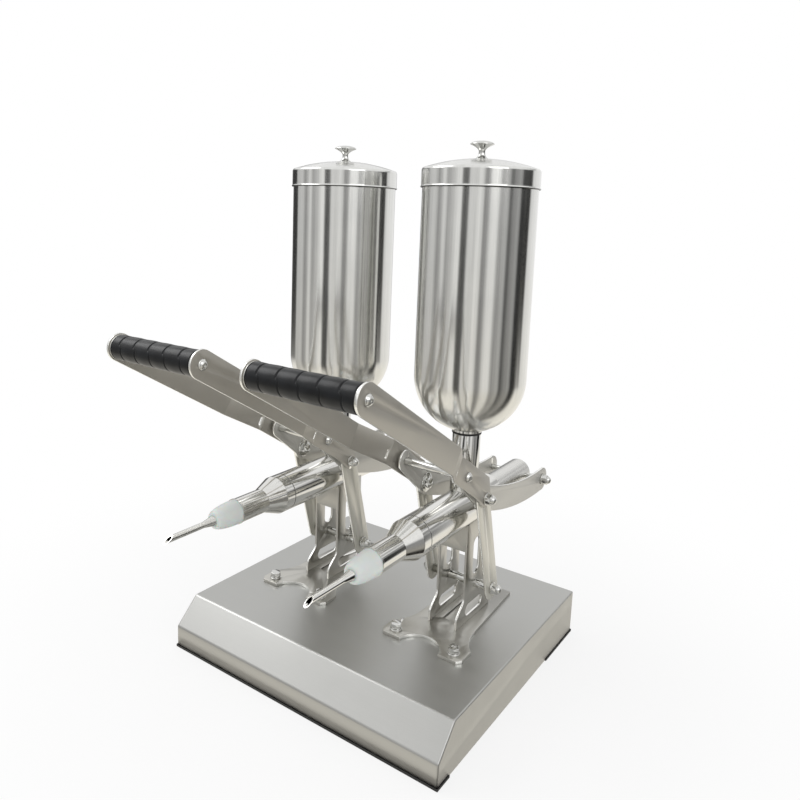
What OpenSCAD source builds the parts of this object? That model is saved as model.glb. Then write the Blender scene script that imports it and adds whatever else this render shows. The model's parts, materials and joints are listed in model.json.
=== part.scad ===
// Twin donut filler: two lever piston pumps with hoppers on one folded sheet base.
// X runs across the front, Y runs front to back and Z runs up. The finished part's origin
// is on the floor, under the middle of the front rubber edge. The pieces themselves are
// drawn from the middle of the base.

/* [Base] */
// Width of the base
base_w = 420; // [400:5:460]
// Depth of the base
base_d = 390; // [380:5:430]
// Height of the base top above the floor
base_h = 64; // [55:1:80]
// Height of the upright strip at the front, under the slope
base_lip_h = 31; // [24:1:36]
// Thickness of the base sheet
base_sheet = 1.5; // [1:0.5:2.5]
// Height of the rubber edge that the base stands on
trim_h = 3.5; // [3:0.5:6]
// Length of the front rubber edge along each side
trim_front_wrap = 26; // [15:1:60]
// Length of the rear rubber edge along each side
trim_rear_wrap = 95; // [40:1:120]
// Depth of the stiffening channels under the base top
channel_h = 20; // [14:1:24]

/* [Units] */
// Distance between the middles of the two pumps
unit_spacing = 215; // [190:1:230]
// Height of the barrel's middle above the base top
barrel_up = 159; // [152:1:170]
// Place of the hopper's middle behind the middle of the base
hopper_y = 26; // [20:1:30]

/* [Foot plate] */
// Thickness of the foot plate
foot_t = 4; // [3:0.5:6]
// Half width of the foot plate over its front ears
foot_ear_x = 59; // [56:1:64]
// Half width of the foot plate just behind the ears
foot_strip_x = 41; // [38:1:44]
// Half width of the foot plate at its rear edge
foot_tail_x = 33; // [30:1:38]
// Front edge of the ears
foot_front_y = -74; // [-80:1:-70]
// Rear edge of the foot plate
foot_rear_y = 126; // [120:1:140]
// Half spacing of the front bolts
foot_bolt_x = 43; // [40:1:46]
// Place of the front bolts
foot_bolt_y = -60; // [-62:1:-56]
// Place of the rear bolt
foot_rear_bolt_y = 110; // [100:1:114]
// Shank diameter of the foot bolts
foot_bolt_d = 8; // [6:1:8]

/* [Bracket] */
// Thickness of the bracket sheet
bracket_t = 3; // [2:0.5:3]
// Half width of the bracket over its cheeks
bracket_x = 21.5; // [20:0.5:23]
// Front edge of the cheeks above their flare
cheek_front_y = 4; // [0:1:6]
// Rear edge of the cheeks above their flare
cheek_rear_y = 60; // [56:1:64]
// How far the cheeks spread forwards and backwards at the foot
cheek_flare = 19; // [10:1:22]
// Distance from the barrel's middle down to the front web's lower edge
web_drop = 53; // [44:1:60]

/* [Barrel] */
// Outer diameter of the barrel
barrel_d = 51; // [48:1:52]
// Diameter of the bore
bore_d = 38; // [36:1:39]
// Front end of the barrel, where the end cap starts
barrel_front_y = -96; // [-100:1:-92]
// Rear mouth of the barrel
barrel_rear_y = 95; // [90:1:98]
// Diameter of the end cap's narrow tube
cap_tube_d = 32; // [28:1:34]
// Length of the end cap's straight band
cap_band_len = 16; // [12:1:20]
// Length of the end cap's cone
cone_len = 26; // [20:1:32]
// Length of the end cap's narrow tube
cap_tube_len = 47; // [40:1:54]
// Length of the plastic nose
nose_len = 37; // [30:1:42]
// Length of the filling needle in front of the nose
needle_len = 76; // [60:1:90]
// Outer diameter of the filling needle
needle_d = 7.6; // [6:0.2:9]

/* [Hopper] */
// Outer diameter of the hopper
hopper_d = 145; // [130:1:150]
// Thickness of the hopper sheet
hopper_sheet = 1.2; // [1:0.1:2]
// Distance from the barrel's middle up to the hopper's lowest point
hopper_up = 105; // [94:1:112]
// Height of the hopper from its lowest point to the lid's lower edge
hopper_h = 313; // [280:1:340]
// Height of the lid's straight skirt
lid_skirt_h = 25; // [20:1:30]
// Rise of the lid's dome
lid_dome_h = 12; // [8:1:16]
// Height of the lid's knob
knob_h = 22; // [18:1:26]
// Diameter of the knob's top
knob_d = 30; // [26:1:34]
// Outer diameter of the neck pipe under the hopper
neck_d = 37; // [34:1:40]

/* [Lever] */
// Place of the fixed axle, front to back
axle_y = 34; // [32:1:35]
// Height of the fixed axle above the base top
axle_up = 53; // [50:1:55]
// Place of the lever's pivot, front to back
pivot_y = -6; // [-8:1:-4]
// Height of the lever's pivot above the barrel's middle
pivot_up = 32.5; // [30:0.5:35]
// Place of the plunger's cross pin, front to back
pin_y = 194; // [192:1:196]
// Distance from the lever's pivot forwards to the grip
grip_out = 296; // [284:1:304]
// Height of the grip above the lever's pivot
grip_up = 188; // [175:1:195]
// Thickness of the lever plates and the link bars
plate_t = 3; // [2.5:0.5:3]
// Width of the link bars
link_w = 32; // [28:1:34]
// Width of the hook plates
hook_w = 34; // [30:1:36]
// Diameter of the rubber grip
grip_d = 30; // [28:1:32]
// Length of the rubber grip
grip_len = 133; // [120:1:134]

/* [Plunger] */
// Length of the plunger
plunger_len = 160; // [150:1:162]
// Distance from the cross pin to the plunger's rear end
plunger_tail = 10; // [10:1:14]
// Diameter of the cross pin
pin_d = 8; // [6:1:8]

/* [Hidden] */
$fn = 64;

left = -1;
right = 1;
steel = "silver";
satin = "gainsboro";
rubber = [0.1, 0.1, 0.1];
plastic = "whitesmoke";
silicone = [0.8, 0.85, 0.35];
// How far a cut runs past the face that it opens
overrun = 1;
// Clearance round a pin or a shaft that turns
turn_fit = 0.05;
// Clearance round a part that slides
slide_fit = 0.1;
// Side clearance between plates that turn on each other
side_gap = 0.4;
// Clearance across a screw or bolt in a plain hole
hole_fit = 0.25;

// Base
base_front_y = -base_d / 2;
base_rear_y = base_d / 2;
slope = base_h - base_lip_h;
slope_angle = 45;
fold_share = tan(slope_angle / 2);
trim_lip = 1;
trim_w = 5;
trim_cover = 1.5;
shell_bottom_z = trim_h - trim_cover;
// Middle of the front rubber edge, which the finished part's origin lies under
origin_y = base_front_y - trim_lip + trim_w / 2;
channel_side = 12;
channel_end = 18;
channel_w = 2 * (foot_bolt_x + channel_side);
channel_front_y = foot_front_y - channel_end;
channel_rear_y = foot_rear_y + channel_end;
channel_top_z = base_h - base_sheet;
foot_top_z = base_h + foot_t;

// Heights that stand on the base
barrel_z = base_h + barrel_up;
axle_z = base_h + axle_up;
pivot_z = barrel_z + pivot_up;
grip_z = pivot_z + grip_up;
grip_y = pivot_y - grip_out;

// Heads, nuts and washers as shares of the shank diameter
head_af_share = 1.625;
head_h_share = 0.66;
nut_h_share = 0.8;
dome_share = 0.7;
washer_d_share = 2;
washer_h_share = 0.2;
spring_washer_d_share = 1.8;
spring_washer_h_share = 0.25;
hex_corner = 1 / cos(30);

// Foot plate and bracket
ear_side_r = 63;
ear_side_back = 74;
ear_chamfer = 6;
front_arc_r = 28.5;
front_arc_out = 3.5;
foot_slit_x = -9;
foot_slit_w = 2.5;
flare_low = 12;
flare_high = 36;
flare_steps = 8;
cheek_top_z = barrel_z - sqrt(pow(barrel_d / 2, 2) - pow(bracket_x, 2));
cheek_mid_y = (cheek_front_y + cheek_rear_y) / 2;
low_slot_up = 17;
low_slot_l = 47;
low_slot_w = 16;
high_slot_up = 14;
high_slot_down = 40;
high_slot_w = 18;
relief_d = 4;

// Plates beside the barrel, from the inside out
hook_x = 39.4;
link_x = hook_x + plate_t + side_gap;
handle_x = link_x + plate_t + side_gap;
handle_out_x = handle_x + plate_t;
stack_d = 8;
// Extra clearance round the pivot bolts in the link bars, for the links' uneven swing
pivot_play = 2.45;
big_washer_d = 26;
axle_d = 12;

// The lever's own frame: u runs from the pivot to the grip and v stands square to it
lever_len = norm([grip_out, grip_up]);
lever_tilt = atan2(grip_up, grip_out);
handle_end_r = 12;
grip_end_r = 16.5;
end_top_u = 9;
end_top_v = 25.5;
end_angle = 45;
low_u = 30;
low_v = -8;
bend_u = 98;
bend_top_v = 24.5;
joggle = 54;
far_u = bend_u + joggle;
far_top_v = 22;
far_low_v = -10;
grip_half = 68.8;
rod_u = 67;
rod_v = 8;
rod_d = 10;
screw_d = 6;
screw_depth = 12;
screw_end_gap = 1;
screw_head_d = 12;
screw_head_h = 3.6;
screw_washer_d = 13;
screw_washer_h = 1.2;
screw_socket_af = 4;
screw_socket_depth = 2.4;
slit_u = 102;
slit_v = 4;
slit_l = 9;
slit_w = 2.5;
hook_arm_r = 14;
hook_curve_r = 500;
// How much the hook's strip is narrower than its round ends, on each side
hook_waist = 0.4;
grip_core_d = 22;
grip_flange_d = grip_d;
grip_flange_t = 1.8;
groove_w = 1.2;
groove_depth = 0.8;
groove_shares = [-0.38, -0.19, 0, 0.19, 0.38];

// Barrel, end cap, nose and needle
barrel_r = barrel_d / 2;
bore_r = bore_d / 2 + slide_fit;
cone_start_y = barrel_front_y - cap_band_len;
cone_end_y = cone_start_y - cone_len;
cap_front_y = cone_end_y - cap_tube_len;
nose_front_y = cap_front_y - nose_len;
needle_tip_y = nose_front_y - needle_len;
seal_wall = 3;
seal_r = bore_r + seal_wall;
seal_depth = 3;
seal_out = 2.5;
seal_groove = 0.8;
thread_wall = 3.4;
thread_r = bore_r + thread_wall;
thread_len = 12;
cap_gasket_t = 1;
cap_wall = 3;
end_ring_w = 2;
end_ring_out = 0.7;
cap_tube_r = cap_tube_d / 2;
cap_bore_r = cap_tube_r - cap_wall;
nose_plug_len = 14;
nose_bore_r = 4;
nose_tip_r = 9;
nose_steps = 10;
flare_r = 6.5;
flare_seat = 6;
flare_len = 16;
needle_wall = 1;
bevel_angle = 30;

// Hopper and lid
neck_sheet = 1.5;
neck_r = neck_d / 2;
neck_in_r = neck_r - neck_sheet;
gasket_h = 3;
gasket_out = 1;
hopper_bottom_z = barrel_z + hopper_up;
neck_top_z = hopper_bottom_z - gasket_h;
spigot_wall = 2;
spigot_r = neck_in_r - slide_fit;
spigot_in_r = spigot_r - spigot_wall;
spigot_len = 18;
hopper_r = hopper_d / 2;
sphere_z = hopper_bottom_z + hopper_r;
collar_h = 4;
lid_play = 0.4;
lid_in_r = hopper_r + lid_play;
lid_r = lid_in_r + hopper_sheet;
lid_bead = 0.8;
lid_bead_h = 2;
lid_seam_z = hopper_bottom_z + hopper_h;
lid_top_z = lid_seam_z + lid_skirt_h;
lid_corner_r = 4;
lid_corner_angle = 72;
lid_corner_step = 12;
lid_steps = 12;
dome_top_z = lid_top_z + lid_dome_h;
rim_gap = 2;
rim_z = lid_top_z - lid_corner_r - rim_gap;
knob_stem_r = 4;
knob_stud_d = 5;
knob_stud_l = 4;
knob_seat_r = 8;
knob_waist_share = 0.4;
knob_brim_share = 0.8;
knob_steps = 12;

// Plunger
plunger_r = bore_d / 2;
plunger_rear_y = pin_y + plunger_tail;
plunger_front_y = plunger_rear_y - plunger_len;
plunger_edge = 1;
ring_section_r = 2;
ring_r = bore_r - turn_fit - ring_section_r;
ring_groove_w = 4.4;
ring_back = 8;
ring_pitch = 10;
ring_ys = [plunger_front_y + ring_back, plunger_front_y + ring_back + ring_pitch];

// Turns a flat outline drawn in Y and Z into a plate of thickness t on one side,
// with its inner face at x0
module side_plate(x0, t, side = right) {
    translate([side > 0 ? x0 : -x0 - t, 0, 0]) rotate([90, 0, 90]) linear_extrude(t) children();
}

// Puts an outline drawn in the lever's u and v into Y and Z
module lever_frame() {
    translate([pivot_y, pivot_z]) mirror([1, 0]) rotate(lever_tilt) children();
}

// Point of the lever's u and v in Y and Z
function lever_point(u, v) = [
    pivot_y - u * cos(lever_tilt) + v * sin(lever_tilt),
    pivot_z + u * sin(lever_tilt) + v * cos(lever_tilt)
];

// Round bar along X from x0 to x1 through the point at = [y, z]
module x_bar(d, x0, x1, at) {
    translate([x0, at[0], at[1]]) rotate([0, 90, 0]) cylinder(h = x1 - x0, d = d);
}

// Turns a profile of radius and height about the hopper's axis
module turned_z() {
    translate([0, hopper_y, 0]) rotate_extrude($fn = 128) children();
}

// Turns a profile of radius and Y about the barrel's axis
module turned_y() {
    translate([0, 0, barrel_z]) rotate([-90, 0, 0]) rotate_extrude($fn = 96) children();
}

// Flat bar with round ends between two points
module round_bar(a, b, r) {
    translate(a) rotate(atan2(b[1] - a[1], b[0] - a[0])) {
        circle(r);
        translate([norm(b - a), 0]) circle(r);
        translate([0, -r]) square([norm(b - a), 2 * r]);
    }
}

// Hexagon for a shank of diameter d, standing on z = 0
module hex(d, h) {
    cylinder(h = h, d = d * head_af_share * hex_corner, $fn = 6);
}

// Washer and cap nut for a shank of diameter d, standing on z = 0, with a blind hole
module cap_nut(d) {
    washer_h = d * washer_h_share;
    nut_top = washer_h + d * nut_h_share;
    difference() {
        union() {
            cylinder(h = washer_h, d = d * washer_d_share);
            hex(d, nut_top);
            translate([0, 0, nut_top]) rotate_extrude() intersection() {
                circle(d * dome_share);
                square(d);
            }
        }
        translate([0, 0, -overrun]) cylinder(h = nut_top + overrun, d = d + hole_fit);
    }
}

// Turns a fastener that stands on z = 0 so that it points outwards along X from x0
module outwards(x0, at, side) {
    translate([x0 * side, at[0], at[1]]) rotate([0, 90 * side, 0]) children();
}

// Puts a piece at the left or the right pump
module unit(side) {
    translate([side * unit_spacing / 2, 0, 0]) children();
}

// Both pumps
module both_units() {
    for (side = [left, right]) unit(side) children();
}

// Outline of the folded base sheet, or of its hollow inside
module base_outline(inset) {
    bottom = shell_bottom_z - (inset > 0 ? overrun : 0);
    polygon([
        [base_front_y + inset, bottom],
        [base_front_y + inset, base_lip_h - inset * fold_share],
        [base_front_y + slope + inset * fold_share, base_h - inset],
        [base_rear_y - inset, base_h - inset],
        [base_rear_y - inset, bottom]
    ]);
}

module bolt_places() {
    for (x = [-foot_bolt_x, foot_bolt_x]) translate([x, foot_bolt_y, 0]) children();
    translate([0, foot_rear_bolt_y, 0]) children();
}

module bolt_holes() {
    bolt_places() cylinder(h = foot_top_z + overrun, d = foot_bolt_d + hole_fit);
}

module base_shell() {
    color(satin) difference() {
        side_plate(-base_w / 2, base_w) base_outline(0);
        side_plate(-base_w / 2 + base_sheet, base_w - 2 * base_sheet) base_outline(base_sheet);
        both_units() bolt_holes();
    }
}

// Frame of a wall round the base, standing a little outside it
module edge_frame(out, wall, z0, z1) {
    translate([0, 0, z0]) linear_extrude(z1 - z0) difference() {
        square([base_w + 2 * out, base_d + 2 * out], center = true);
        square([base_w + 2 * out - 2 * wall, base_d + 2 * out - 2 * wall], center = true);
    }
}

// Rubber edge that grips the bottom of the base sheet between two Y places
module base_trim(y0, y1) {
    color(rubber) intersection() {
        difference() {
            edge_frame(trim_lip, trim_w, 0, trim_h);
            edge_frame(0, base_sheet, shell_bottom_z, trim_h + overrun);
        }
        translate([-base_w, y0, -overrun]) cube([2 * base_w, y1 - y0, base_h]);
    }
}

module base_trim_front() {
    base_trim(base_front_y - trim_lip, base_front_y + trim_front_wrap);
}

module base_trim_rear() {
    base_trim(base_rear_y - trim_rear_wrap, base_rear_y + trim_lip);
}

// Channel under each pump, with its web against the base top and its sides hanging down
module base_channels() {
    color(steel) both_units() difference() {
        translate([-channel_w / 2, channel_front_y, channel_top_z - channel_h])
            cube([channel_w, channel_rear_y - channel_front_y, channel_h]);
        translate([-channel_w / 2 + base_sheet, channel_front_y - overrun, channel_top_z - channel_h - overrun])
            cube([channel_w - 2 * base_sheet, channel_rear_y - channel_front_y + 2 * overrun,
                channel_h + overrun - base_sheet]);
        bolt_holes();
    }
}

// Hex bolts on a flat and a spring washer, and a nut and washer under each channel
module foot_bolts() {
    washer_h = foot_bolt_d * washer_h_share;
    washer_d = foot_bolt_d * washer_d_share;
    spring_z = foot_top_z + washer_h;
    head_z = spring_z + foot_bolt_d * spring_washer_h_share;
    nut_h = foot_bolt_d * nut_h_share;
    under_z = channel_top_z - base_sheet;
    tail_z = under_z - washer_h - nut_h - foot_bolt_d / 4;
    color(steel) both_units() bolt_places() {
        translate([0, 0, foot_top_z]) cylinder(h = washer_h, d = washer_d);
        translate([0, 0, spring_z]) cylinder(h = head_z - spring_z, d = foot_bolt_d * spring_washer_d_share);
        translate([0, 0, head_z]) hex(foot_bolt_d, foot_bolt_d * head_h_share);
        translate([0, 0, tail_z]) cylinder(h = head_z - tail_z, d = foot_bolt_d);
        translate([0, 0, under_z - washer_h]) cylinder(h = washer_h, d = washer_d);
        translate([0, 0, under_z - washer_h - nut_h]) hex(foot_bolt_d, nut_h);
    }
}

// Foot plate with two front ears, a round bite between them and a tail that narrows to the rear
module foot_plate() {
    tail_front_y = foot_front_y + ear_side_back;
    color(steel) difference() {
        translate([0, 0, base_h]) linear_extrude(foot_t) difference() {
            union() {
                polygon([
                    [-foot_strip_x, foot_front_y], [foot_strip_x, foot_front_y],
                    [foot_strip_x, tail_front_y], [foot_tail_x, foot_rear_y],
                    [-foot_tail_x, foot_rear_y], [-foot_strip_x, tail_front_y]
                ]);
                translate([-foot_ear_x, foot_front_y]) square([2 * foot_ear_x, ear_side_back]);
            }
            for (side = [left, right]) {
                translate([side * (foot_strip_x + ear_side_r), tail_front_y]) circle(ear_side_r);
                polygon([
                    [side * (foot_ear_x - ear_chamfer), foot_front_y - overrun],
                    [side * (foot_ear_x + overrun), foot_front_y - overrun],
                    [side * (foot_ear_x + overrun), foot_front_y + ear_chamfer + 2 * overrun]
                ]);
            }
            translate([0, foot_front_y - front_arc_out]) circle(front_arc_r);
            translate([foot_slit_x, cheek_front_y]) square([foot_slit_w, cheek_rear_y - cheek_front_y]);
        }
        bolt_holes();
    }
}

// How far the cheek spreads at the height z
function flare_at(z) = cheek_flare
    * (1 + cos(180 * min(1, max(0, (z - foot_top_z - flare_low) / (flare_high - flare_low))))) / 2;

function flare_heights() = [
    for (i = [0:flare_steps]) foot_top_z + flare_low + (flare_high - flare_low) * i / flare_steps
];

module cheek_outline() {
    heights = concat([foot_top_z], flare_heights(), [cheek_top_z]);
    last = len(heights) - 1;
    low_z = foot_top_z + low_slot_up;
    low_half = (low_slot_l - low_slot_w) / 2;
    high_r = high_slot_w / 2;
    difference() {
        polygon(concat(
            [for (z = heights) [cheek_rear_y + flare_at(z), z]],
            [for (i = [0:last]) [cheek_front_y - flare_at(heights[last - i]), heights[last - i]]]
        ));
        round_bar([cheek_mid_y - low_half, low_z], [cheek_mid_y + low_half, low_z], low_slot_w / 2);
        round_bar([cheek_mid_y, axle_z + high_slot_up + high_r],
            [cheek_mid_y, barrel_z - high_slot_down - high_r], high_r);
    }
}

// Two cheeks joined by a front web, with the barrel's saddle cut in their top
module bracket() {
    color(steel) difference() {
        union() {
            for (side = [left, right]) side_plate(bracket_x - bracket_t, bracket_t, side) cheek_outline();
            translate([-bracket_x, cheek_front_y, barrel_z - web_drop])
                cube([2 * bracket_x, bracket_t, web_drop - barrel_z + cheek_top_z]);
        }
        turned_y() translate([0, cheek_front_y - cheek_flare])
            square([barrel_r, cheek_rear_y - cheek_front_y + 2 * cheek_flare]);
        for (x = [-bracket_x, bracket_x])
            translate([x, cheek_front_y - overrun, cheek_top_z]) rotate([-90, 0, 0])
                cylinder(h = bracket_t + 2 * overrun, d = relief_d);
        x_bar(axle_d + hole_fit, -bracket_x - overrun, bracket_x + overrun, [axle_y, axle_z]);
    }
}

// Fixed axle with a thinner stud at each end for the link bars
module axle() {
    shoulder_x = link_x - side_gap / 2;
    stud_x = link_x + plate_t + side_gap / 2 + stack_d * (washer_h_share + nut_h_share) - overrun;
    color(steel) {
        x_bar(axle_d, -shoulder_x, shoulder_x, [axle_y, axle_z]);
        x_bar(stack_d, -stud_x, stud_x, [axle_y, axle_z]);
    }
}

module axle_nuts() {
    color(steel) both_units() for (side = [left, right])
        outwards(link_x + plate_t + side_gap / 2, [axle_y, axle_z], side) cap_nut(stack_d);
}

// Link bar between the axle and the lever's pivot bolt
module link_bar(side) {
    color(steel) difference() {
        side_plate(link_x, plate_t, side) round_bar([axle_y, axle_z], [pivot_y, pivot_z], link_w / 2);
        x_bar(stack_d + 2 * turn_fit, -handle_x, handle_x, [axle_y, axle_z]);
        x_bar(stack_d + 2 * pivot_play, -handle_x, handle_x, [pivot_y, pivot_z]);
    }
}

module handle_outline() {
    translate([lever_len, 0]) circle(grip_end_r);
    circle(handle_end_r);
    polygon([
        [0, -handle_end_r], [low_u, low_v], [bend_u, low_v], [far_u, far_low_v],
        [lever_len, -grip_end_r], [lever_len, grip_end_r], [far_u, far_top_v], [bend_u, bend_top_v],
        [end_top_u, end_top_v], [-handle_end_r * cos(end_angle), handle_end_r * sin(end_angle)]
    ]);
}

// Sheet that lies beside the barrel, steps outwards between two bends and runs to the grip
module joggled_sheet(side) {
    step = grip_half - handle_x;
    turn = plate_t * tan(atan2(step, joggle) / 2);
    translate([0, pivot_y, pivot_z]) rotate([-lever_tilt, 0, 0])
        translate([0, 0, -lever_len / 2]) linear_extrude(lever_len) polygon([
            [side * handle_x, bend_u], [side * handle_x, -bend_u], [side * grip_half, -far_u],
            [side * grip_half, -2 * lever_len], [side * (grip_half + plate_t), -2 * lever_len],
            [side * (grip_half + plate_t), turn - far_u], [side * handle_out_x, turn - bend_u],
            [side * handle_out_x, bend_u]
        ]);
}

module handle_plate(side) {
    color(steel) difference() {
        intersection() {
            side_plate(handle_x - overrun, grip_half + plate_t, side) lever_frame() handle_outline();
            joggled_sheet(side);
        }
        x_bar(stack_d + hole_fit, -grip_half, grip_half, [pivot_y, pivot_z]);
        x_bar(screw_d + hole_fit, -grip_half, grip_half, lever_point(rod_u, rod_v));
        x_bar(screw_d + hole_fit, -2 * grip_half, 2 * grip_half, [grip_y, grip_z]);
        side_plate(handle_x - overrun, grip_half, side) lever_frame()
            round_bar([slit_u, slit_v - slit_l / 2], [slit_u, slit_v + slit_l / 2], slit_w / 2);
    }
}

// Gently curved strip from the lever's pivot to the cross pin, with an arm to the cross rod
module hook_outline() {
    start = [pivot_y, pivot_z];
    end = [pin_y, barrel_z];
    along = (end - start) / norm(end - start);
    rise = sqrt(pow(hook_curve_r, 2) - pow(norm(end - start) / 2, 2));
    centre = (start + end) / 2 + rise * [-along[1], along[0]];
    strip_half = hook_w / 2 - hook_waist;
    translate(start) circle(hook_w / 2);
    translate(end) circle(hook_w / 2);
    round_bar(start, lever_point(rod_u, rod_v), hook_arm_r);
    intersection() {
        translate(centre) difference() {
            circle(hook_curve_r + strip_half, $fn = 360);
            circle(hook_curve_r - strip_half, $fn = 360);
        }
        polygon([centre, 2 * start - centre, 2 * end - centre]);
    }
}

module hook_plate(side) {
    color(steel) difference() {
        side_plate(hook_x, plate_t, side) hook_outline();
        x_bar(stack_d + hole_fit, -handle_x, handle_x, [pivot_y, pivot_z]);
        x_bar(screw_d + hole_fit, -handle_x, handle_x, lever_point(rod_u, rod_v));
        x_bar(pin_d + 2 * turn_fit, -handle_x, handle_x, [pin_y, barrel_z]);
    }
}

// Pivot bolts with their heads and large washers inside and cap nuts outside
module pivot_bolts() {
    washer_h = stack_d * washer_h_share;
    head_x = hook_x - washer_h - stack_d * head_h_share;
    tail_x = handle_out_x + stack_d * (washer_h_share + nut_h_share) - overrun;
    at = [pivot_y, pivot_z];
    color(steel) for (side = [left, right]) {
        outwards(head_x, at, side) hex(stack_d, stack_d * head_h_share);
        outwards(hook_x - washer_h, at, side) cylinder(h = washer_h, d = big_washer_d);
        outwards(head_x, at, side) cylinder(h = tail_x - head_x, d = stack_d);
        outwards(handle_out_x, at, side) cap_nut(stack_d);
    }
}

// Rod between the hook plates, with a spacer ring outside each hook plate
module cross_rod() {
    at = lever_point(rod_u, rod_v);
    color(steel) difference() {
        union() {
            x_bar(rod_d, -hook_x, hook_x, at);
            for (side = [left, right])
                outwards(hook_x + plate_t, at, side) cylinder(h = handle_x - hook_x - plate_t, d = rod_d);
        }
        for (side = [left, right])
            outwards(hook_x - screw_depth - screw_end_gap, at, side)
                cylinder(h = screw_depth + handle_x, d = screw_d + hole_fit);
    }
}

// Low dome head with a hexagon socket on a washer, with its shank pointing inwards
module lever_screw(length) {
    head_r = screw_head_d / 2;
    dome_r = (pow(head_r, 2) + pow(screw_head_h, 2)) / (2 * screw_head_h);
    socket_z = screw_washer_h + screw_head_h - screw_socket_depth;
    difference() {
        union() {
            translate([0, 0, -length]) cylinder(h = length + screw_washer_h, d = screw_d);
            cylinder(h = screw_washer_h, d = screw_washer_d);
            translate([0, 0, screw_washer_h]) rotate_extrude() intersection() {
                translate([0, screw_head_h - dome_r]) circle(dome_r);
                square([head_r, screw_head_h]);
            }
        }
        translate([0, 0, socket_z]) cylinder(h = screw_head_h, d = screw_socket_af * hex_corner, $fn = 6);
    }
}

module lever_screws() {
    color(steel) for (side = [left, right]) {
        outwards(handle_out_x, lever_point(rod_u, rod_v), side)
            lever_screw(handle_out_x - hook_x + screw_depth);
        outwards(grip_half + plate_t, [grip_y, grip_z], side) lever_screw(plate_t + screw_depth);
    }
}

module grip_core() {
    at = [grip_y, grip_z];
    bore_x = grip_half - screw_depth - screw_end_gap;
    color(steel) difference() {
        union() {
            x_bar(grip_core_d, -grip_half, grip_half, at);
            for (side = [left, right])
                outwards(grip_half - grip_flange_t, at, side) cylinder(h = grip_flange_t, d = grip_flange_d);
        }
        for (side = [left, right])
            outwards(bore_x, at, side) cylinder(h = grip_half, d = screw_d + hole_fit);
    }
}

module grip_sleeve() {
    color(rubber) difference() {
        x_bar(grip_d, -grip_len / 2, grip_len / 2, [grip_y, grip_z]);
        x_bar(grip_core_d + hole_fit, -grip_half, grip_half, [grip_y, grip_z]);
        for (share = groove_shares) translate([share * grip_len, 0, 0]) difference() {
            x_bar(grip_d + overrun, -groove_w / 2, groove_w / 2, [grip_y, grip_z]);
            x_bar(grip_d - 2 * groove_depth, -groove_w, groove_w, [grip_y, grip_z]);
        }
    }
}

// Barrel with its bore, a wider front for the end cap and a seat for the mouth seal
module barrel() {
    color(steel) difference() {
        turned_y() difference() {
            translate([0, barrel_front_y]) square([barrel_r, barrel_rear_y - barrel_front_y]);
            translate([0, barrel_front_y - overrun])
                square([bore_r, barrel_rear_y - barrel_front_y + 2 * overrun]);
            translate([0, barrel_front_y - overrun]) square([thread_r + slide_fit, thread_len + 2 * overrun]);
            translate([0, barrel_rear_y - seal_depth]) square([seal_r + slide_fit, seal_depth + overrun]);
        }
        translate([0, hopper_y, barrel_z]) cylinder(h = barrel_d, r = spigot_in_r);
    }
}

module mouth_seals() {
    color(silicone) both_units() turned_y() difference() {
        translate([bore_r, barrel_rear_y - seal_depth]) square([seal_r - bore_r, seal_depth + seal_out]);
        translate([seal_r, barrel_rear_y + seal_out / 2]) rotate(45) square(seal_groove, center = true);
    }
}

// Neck pipe that stands on the barrel
module neck() {
    color(steel) difference() {
        translate([0, hopper_y, barrel_z]) cylinder(h = neck_top_z - barrel_z, r = neck_r);
        translate([0, hopper_y, barrel_z - overrun])
            cylinder(h = neck_top_z - barrel_z + 2 * overrun, r = neck_in_r);
        turned_y() translate([0, barrel_front_y]) square([barrel_r, barrel_rear_y - barrel_front_y]);
    }
}

module neck_gaskets() {
    color(rubber) both_units() turned_z()
        translate([spigot_r + slide_fit, neck_top_z]) square([neck_r + gasket_out - spigot_r - slide_fit, gasket_h]);
}

// Threaded end cap: spigot, band, cone, narrow tube and a thin ring at its front
module end_cap() {
    flange_y = barrel_front_y - cap_gasket_t;
    color(steel) turned_y() difference() {
        polygon([
            [0, barrel_front_y + thread_len], [thread_r, barrel_front_y + thread_len],
            [thread_r, flange_y], [barrel_r, flange_y], [barrel_r, cone_start_y],
            [cap_tube_r, cone_end_y], [cap_tube_r, cap_front_y + end_ring_w],
            [cap_tube_r + end_ring_out, cap_front_y + end_ring_w],
            [cap_tube_r + end_ring_out, cap_front_y], [0, cap_front_y]
        ]);
        polygon([
            [0, barrel_front_y + thread_len + overrun], [bore_r, barrel_front_y + thread_len + overrun],
            [bore_r, cone_start_y], [cap_bore_r, cone_end_y], [cap_bore_r, cap_front_y - overrun],
            [0, cap_front_y - overrun]
        ]);
    }
}

module cap_gaskets() {
    color(rubber) both_units() turned_y()
        translate([thread_r + slide_fit, barrel_front_y - cap_gasket_t])
            square([barrel_r - thread_r - 2 * slide_fit, cap_gasket_t]);
}

// Rounded plastic nose with a plug that fits the end cap
module nose() {
    plug_r = cap_bore_r - slide_fit;
    color(plastic) turned_y() difference() {
        polygon(concat(
            [[0, cap_front_y + nose_plug_len], [plug_r, cap_front_y + nose_plug_len], [plug_r, cap_front_y]],
            [for (i = [0:nose_steps]) [
                nose_tip_r + (cap_tube_r - nose_tip_r) * sqrt(1 - pow(i / nose_steps, 2)),
                cap_front_y - nose_len * i / nose_steps
            ]],
            [[0, nose_front_y]]
        ));
        translate([0, nose_front_y]) square([nose_bore_r, nose_len + nose_plug_len + overrun]);
        translate([0, nose_front_y - overrun]) square([flare_r + slide_fit, flare_seat + overrun]);
    }
}

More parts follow.
